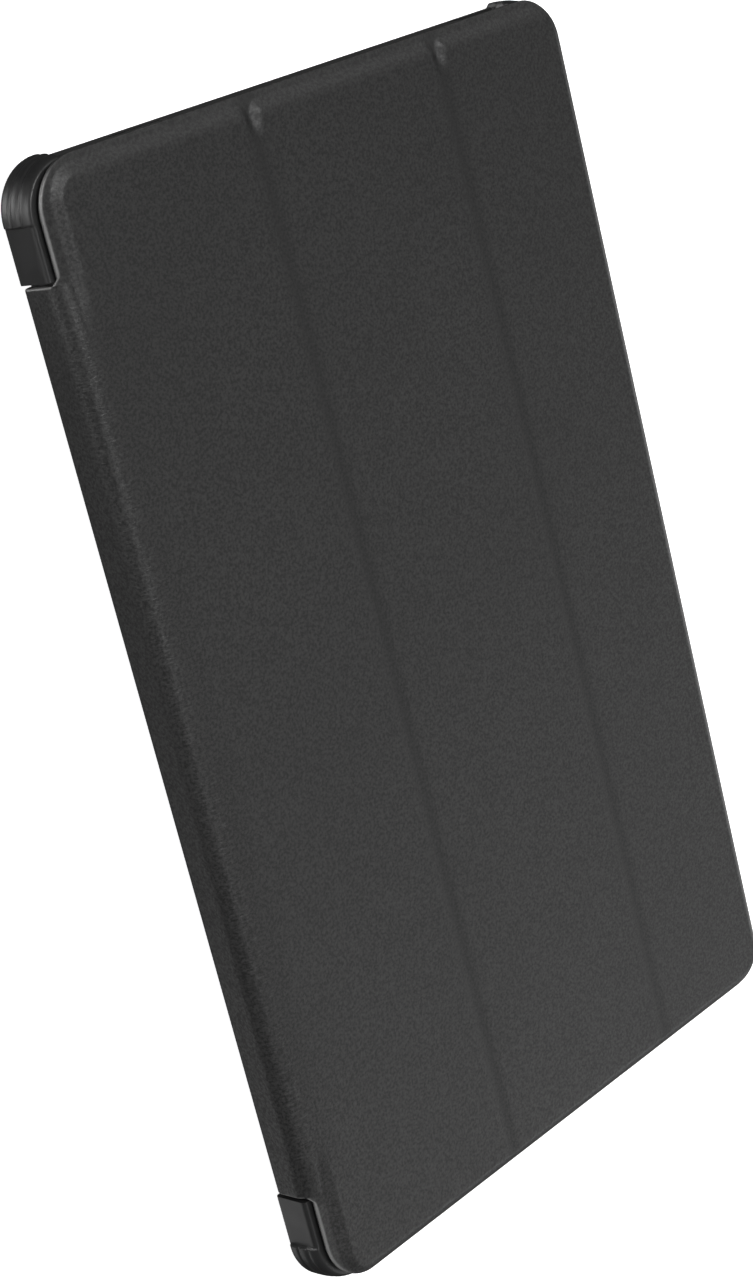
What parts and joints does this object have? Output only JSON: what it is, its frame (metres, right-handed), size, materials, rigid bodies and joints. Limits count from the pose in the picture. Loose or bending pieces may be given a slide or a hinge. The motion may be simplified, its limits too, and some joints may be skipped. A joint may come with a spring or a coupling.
{
  "type": "tablet case",
  "caption": "Tri-fold tablet case: leather cover with stiff panels hinged to a moulded tray with banded corner bumpers, folding open or into a stand.",
  "frame": {"origin": "on the surface the case lies on, under the middle of its outline", "axes": "+Z is the thickness of the closed case with the cover up, +Y runs along the spine, +X points from the spine to the free edge of the cover"},
  "size_m": [0.1624, 0.2506, 0.0122],
  "materials": {
    "cover_leather": "charcoal synthetic leather with a fine pebbled grain",
    "microfibre_lining": "dark grey brushed microfibre",
    "stiffener_board": "thin fibre-reinforced stiffener",
    "moulded_shell": "satin black moulded polyurethane",
    "adhesive_film": "translucent adhesive film",
    "magnet_steel": "nickel-plated bar magnet"
  },
  "bodies": {
    "shell": {"back_shell": "moulded_shell", "back_flap_skin": "cover_leather", "back_adhesive_film": "adhesive_film"},
    "spine": {"back_hinge_skin": "cover_leather", "spine_skin": "cover_leather", "spine_board": "stiffener_board", "spine_lining": "microfibre_lining"},
    "front_web": {"front_hinge_skin": "cover_leather", "front_hinge_lining": "microfibre_lining"},
    "inner_panel": {"inner_panel_skin": "cover_leather", "inner_panel_board": "stiffener_board", "inner_panel_lining": "microfibre_lining", "inner_panel_magnets": "magnet_steel", "inner_fold_skin": "cover_leather", "inner_fold_lining": "microfibre_lining"},
    "middle_panel": {"middle_panel_skin": "cover_leather", "middle_panel_board": "stiffener_board", "middle_panel_lining": "microfibre_lining", "outer_fold_skin": "cover_leather", "outer_fold_lining": "microfibre_lining"},
    "outer_panel": {"outer_panel_skin": "cover_leather", "outer_panel_board": "stiffener_board", "outer_panel_lining": "microfibre_lining", "outer_panel_magnets": "magnet_steel"}
  },
  "joints": [
    {"name": "back_hinge", "type": "hinge", "parent": "shell", "child": "spine", "pos_m": [-0.0794, 0, 0.0008], "axis": [0, -1, 0], "range_deg": [0, 90], "deforming": ["back_hinge_skin"]},
    {"name": "front_hinge", "type": "hinge", "parent": "spine", "child": "front_web", "pos_m": [-0.07883, 0, 0.01083], "axis": [0, -1, 0], "range_deg": [0, 90], "deforming": ["front_hinge_skin", "front_hinge_lining"]},
    {"name": "stand_hinge", "type": "hinge", "parent": "front_web", "child": "inner_panel", "pos_m": [-0.0756, 0, 0.01285], "axis": [0, 1, 0], "range_deg": [-176, 0]},
    {"name": "inner_fold", "type": "hinge", "parent": "inner_panel", "child": "middle_panel", "pos_m": [-0.02, 0, 0.0103], "axis": [0, 1, 0], "range_deg": [0, 134.16], "deforming": ["inner_fold_skin", "inner_fold_lining"]},
    {"name": "outer_fold", "type": "hinge", "parent": "middle_panel", "child": "outer_panel", "pos_m": [0.0383, 0, 0.0103], "axis": [0, 1, 0], "range_deg": [0, 119.26], "deforming": ["outer_fold_skin", "outer_fold_lining"]}
  ],
  "couplings": [
    {"joint": "inner_fold", "follows": "stand_hinge", "ratio": -0.76227},
    {"joint": "outer_fold", "follows": "stand_hinge", "ratio": -0.67761}
  ]
}
